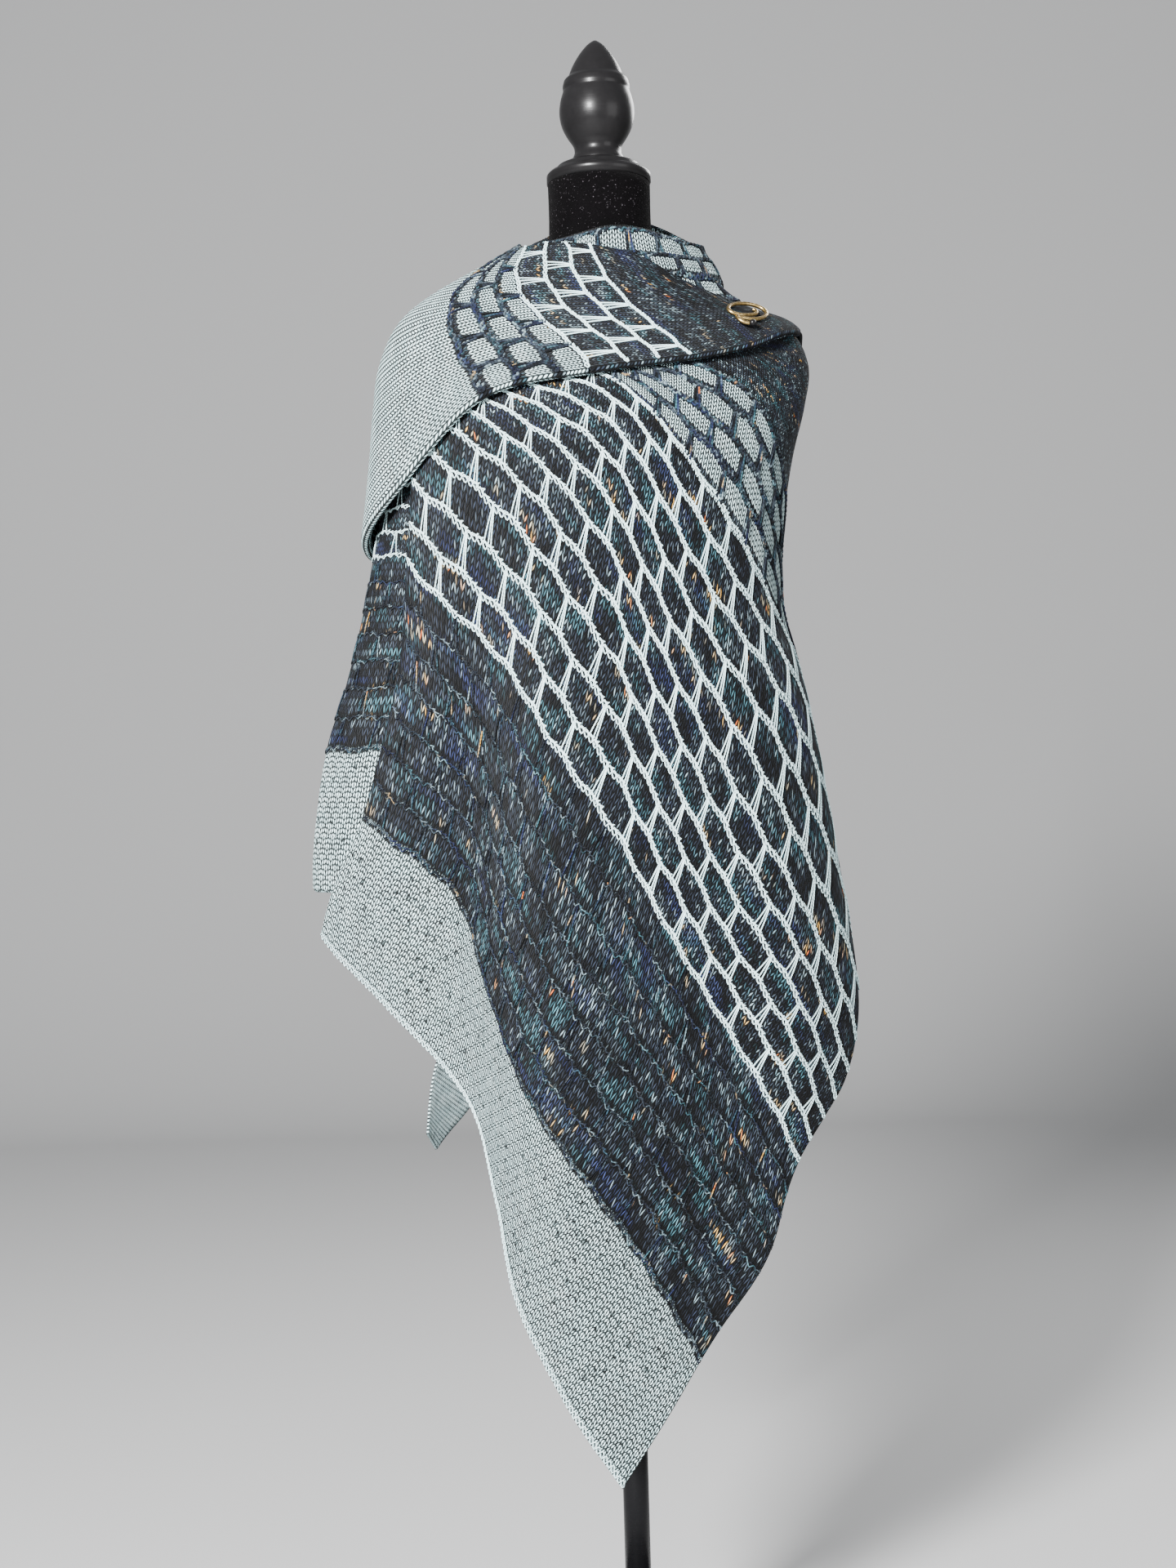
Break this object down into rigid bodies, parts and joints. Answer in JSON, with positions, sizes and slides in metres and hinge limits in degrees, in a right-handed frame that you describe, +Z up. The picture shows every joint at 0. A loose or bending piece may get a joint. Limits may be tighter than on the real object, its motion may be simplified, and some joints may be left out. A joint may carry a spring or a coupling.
{
  "type": "knitted shawl on a dress form",
  "caption": "Wide knitted wrap shawl in honeycomb, ridged and seed stitch bands, wound round a limbless dress form on a pole stand and closed with a scroll pin.",
  "frame": {"origin": "centre of the stand's foot, on the floor, on the pole's axis", "axes": "+Z up along the pole, +X towards the wearer's left, the front faces -Y"},
  "size_m": [0.5273, 0.3741, 1.6273],
  "materials": {
    "knit_mixed": "pale blue-grey mesh over dark variegated wool",
    "knit_pale": "pale blue-grey wool",
    "velvet": "black velvet",
    "satin_black": "turned wood in black satin lacquer",
    "gloss_black": "gloss black tube",
    "base_black": "satin black plate",
    "brass": "dulled brass wire",
    "stud_dark": "dark polished stud"
  },
  "bodies": {
    "root": {"front_fall": "knit_mixed", "back_fall": "knit_mixed", "shoulder_wrap": "knit_pale", "chest_wrap": "knit_mixed", "neck_collar": "knit_mixed", "back_tail": "knit_pale", "dress_form": "velvet", "neck_cap": "satin_black", "finial": "satin_black", "pole": "gloss_black", "stand_foot": "base_black", "shawl_pin": "brass", "pin_stud": "stud_dark"}
  },
  "joints": []
}
